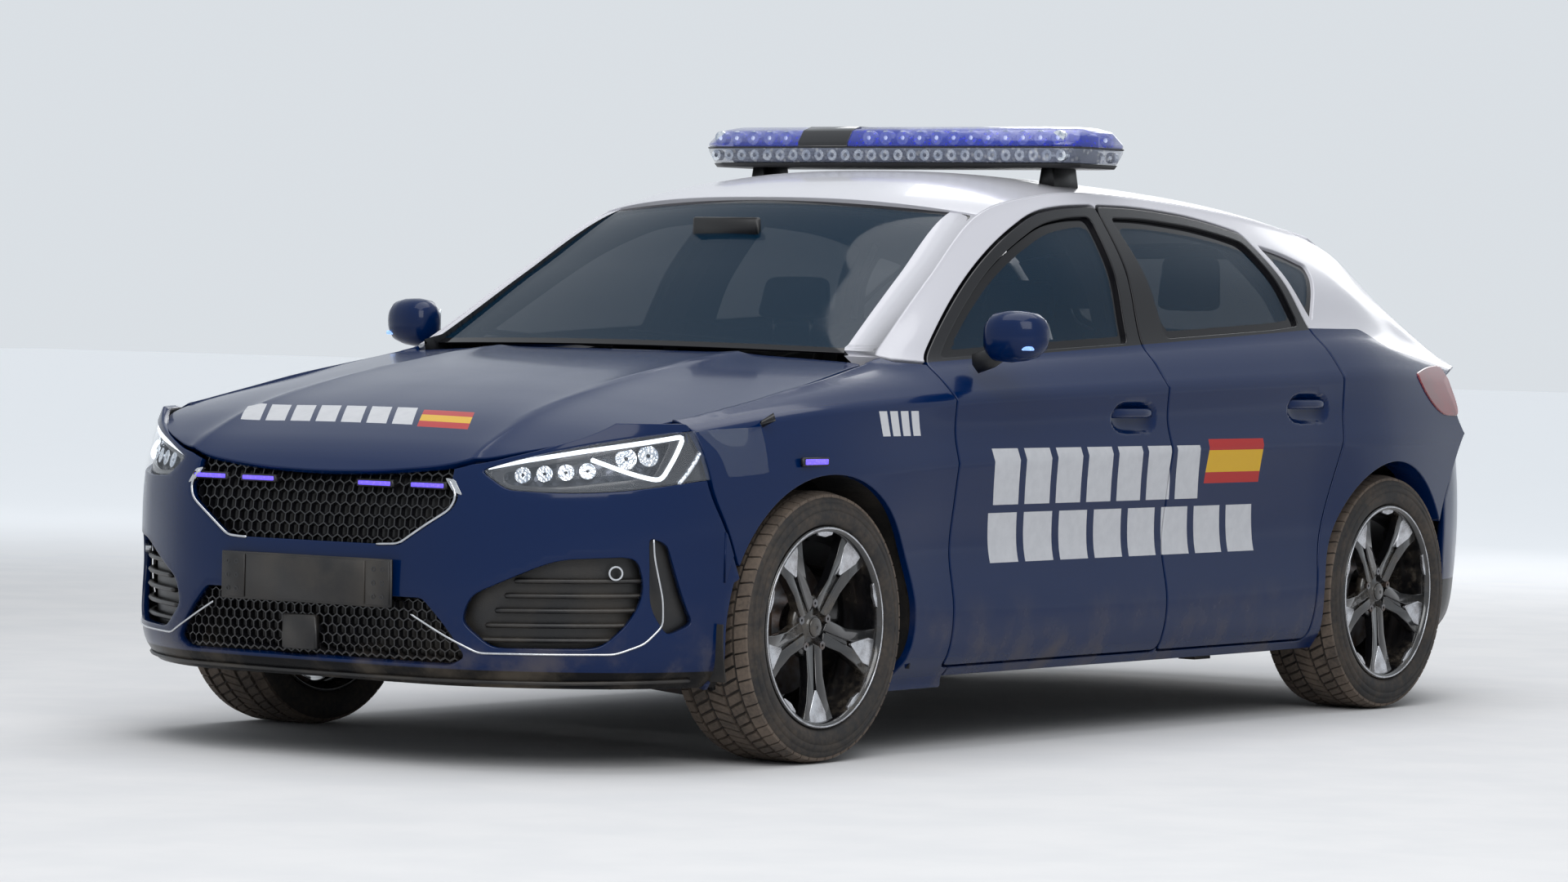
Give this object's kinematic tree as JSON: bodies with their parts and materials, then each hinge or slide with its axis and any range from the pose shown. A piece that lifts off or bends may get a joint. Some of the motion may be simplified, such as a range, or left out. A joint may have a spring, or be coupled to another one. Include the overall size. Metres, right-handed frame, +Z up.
{
  "type": "five-door police patrol car",
  "caption": "Compact five-door hatchback patrol car with opening doors, bonnet and tailgate, steered front wheels, free-rolling wheels and a roof light bar",
  "frame": {"origin": "on the ground, under the middle of the car's length and width", "axes": "+X forward to the nose, +Y to the car's left, +Z up"},
  "size_m": [4.395, 2.077, 1.5679],
  "materials": {
    "blue_paint": "deep blue gloss paint",
    "white_paint": "white gloss paint",
    "underseal": "dark underbody coating",
    "black_plastic": "grained black plastic",
    "grey_plastic": "dark grey plastic",
    "lamp_clear": "clear lamp cover over bright reflectors",
    "lamp_red": "red lamp cover",
    "lamp_blue": "blue warning lamp cover",
    "tinted_glass": "lightly tinted safety glass",
    "cast_alloy": "rough cast alloy",
    "cast_steel": "cast iron",
    "exhaust_steel": "dulled stainless steel",
    "seat_cloth": "dark woven seat cloth",
    "tyre_rubber": "dusty black rubber",
    "wheel_alloy": "gloss black wheel with bright machined tips"
  },
  "bodies": {
    "body": {"body_side_left": "blue_paint", "body_side_right": "blue_paint", "roof_panel": "white_paint", "floor_pan": "underseal", "bulkhead": "underseal", "arch_liners": "black_plastic", "front_wings": "blue_paint", "front_bumper": "blue_paint", "front_grilles": "black_plastic", "plate_holder": "grey_plastic", "headlamps": "lamp_clear", "rear_bumper": "blue_paint", "tail_lamps": "lamp_red", "windscreen": "tinted_glass", "quarter_glass": "tinted_glass", "engine_block": "cast_alloy", "front_subframe": "underseal", "rear_axle": "underseal", "fuel_tank": "black_plastic", "exhaust": "exhaust_steel", "dashboard": "black_plastic", "front_seats": "seat_cloth", "rear_seat": "seat_cloth", "lightbar_base": "black_plastic", "lightbar_lens": "lamp_blue", "warning_lights": "lamp_blue"},
    "steering_wheel": {"steering_wheel": "black_plastic"},
    "bonnet": {"bonnet": "blue_paint"},
    "tailgate": {"tailgate": "white_paint", "tailgate_glass": "tinted_glass"},
    "front_door_left": {"door_front_left": "blue_paint", "door_glass_front_left": "tinted_glass", "mirror_left": "blue_paint"},
    "rear_door_left": {"door_rear_left": "blue_paint", "door_glass_rear_left": "tinted_glass"},
    "front_hub_left": {"knuckle_left": "cast_steel"},
    "front_wheel_left": {"tyre_front_left": "tyre_rubber", "wheel_front_left": "wheel_alloy"},
    "rear_wheel_left": {"tyre_rear_left": "tyre_rubber", "wheel_rear_left": "wheel_alloy"},
    "front_door_right": {"door_front_right": "blue_paint", "door_glass_front_right": "tinted_glass", "mirror_right": "blue_paint"},
    "rear_door_right": {"door_rear_right": "blue_paint", "door_glass_rear_right": "tinted_glass"},
    "front_hub_right": {"knuckle_right": "cast_steel"},
    "front_wheel_right": {"tyre_front_right": "tyre_rubber", "wheel_front_right": "wheel_alloy"},
    "rear_wheel_right": {"tyre_rear_right": "tyre_rubber", "wheel_rear_right": "wheel_alloy"}
  },
  "joints": [
    {"name": "front_left_steer", "type": "hinge", "parent": "body", "child": "front_hub_left", "pos_m": [1.331, 0.705, 0.19], "axis": [0, -0.2282, 0.9736], "range_deg": [-32, 32]},
    {"name": "front_right_steer", "type": "hinge", "parent": "body", "child": "front_hub_right", "pos_m": [1.331, -0.705, 0.19], "axis": [0, 0.2282, 0.9736], "range_deg": [-32, 32]},
    {"name": "steering_wheel_turn", "type": "hinge", "parent": "body", "child": "steering_wheel", "pos_m": [0.42, 0.365, 0.875], "axis": [-0.9135, 0, 0.4067], "range_deg": [-450, 450]},
    {"name": "front_left_wheel_spin", "type": "hinge", "parent": "front_hub_left", "child": "front_wheel_left", "pos_m": [1.331, 0.767, 0.323], "axis": [0, 1, 0], "continuous": true},
    {"name": "rear_left_wheel_spin", "type": "hinge", "parent": "body", "child": "rear_wheel_left", "pos_m": [-1.355, 0.767, 0.323], "axis": [0, 1, 0], "continuous": true},
    {"name": "front_left_door_hinge", "type": "hinge", "parent": "body", "child": "front_door_left", "pos_m": [0.803, 0.897, 0.6], "axis": [0, 0, -1], "range_deg": [0, 66]},
    {"name": "rear_left_door_hinge", "type": "hinge", "parent": "body", "child": "rear_door_left", "pos_m": [-0.162, 0.897, 0.6], "axis": [0, 0, -1], "range_deg": [0, 68]},
    {"name": "front_right_wheel_spin", "type": "hinge", "parent": "front_hub_right", "child": "front_wheel_right", "pos_m": [1.331, -0.767, 0.323], "axis": [0, 1, 0], "continuous": true},
    {"name": "rear_right_wheel_spin", "type": "hinge", "parent": "body", "child": "rear_wheel_right", "pos_m": [-1.355, -0.767, 0.323], "axis": [0, 1, 0], "continuous": true},
    {"name": "front_right_door_hinge", "type": "hinge", "parent": "body", "child": "front_door_right", "pos_m": [0.803, -0.897, 0.6], "axis": [0, 0, 1], "range_deg": [0, 66]},
    {"name": "rear_right_door_hinge", "type": "hinge", "parent": "body", "child": "rear_door_right", "pos_m": [-0.162, -0.897, 0.6], "axis": [0, 0, 1], "range_deg": [0, 68]},
    {"name": "bonnet_hinge", "type": "hinge", "parent": "body", "child": "bonnet", "pos_m": [0.975, 0, 0.962], "axis": [0, -1, 0], "range_deg": [0, 50]},
    {"name": "tailgate_hinge", "type": "hinge", "parent": "body", "child": "tailgate", "pos_m": [-1.452, 0, 1.388], "axis": [0, 1, 0], "range_deg": [0, 80]}
  ],
  "couplings": [
    {"joint": "front_right_steer", "follows": "front_left_steer", "ratio": 1},
    {"joint": "steering_wheel_turn", "follows": "front_left_steer", "ratio": 14}
  ]
}
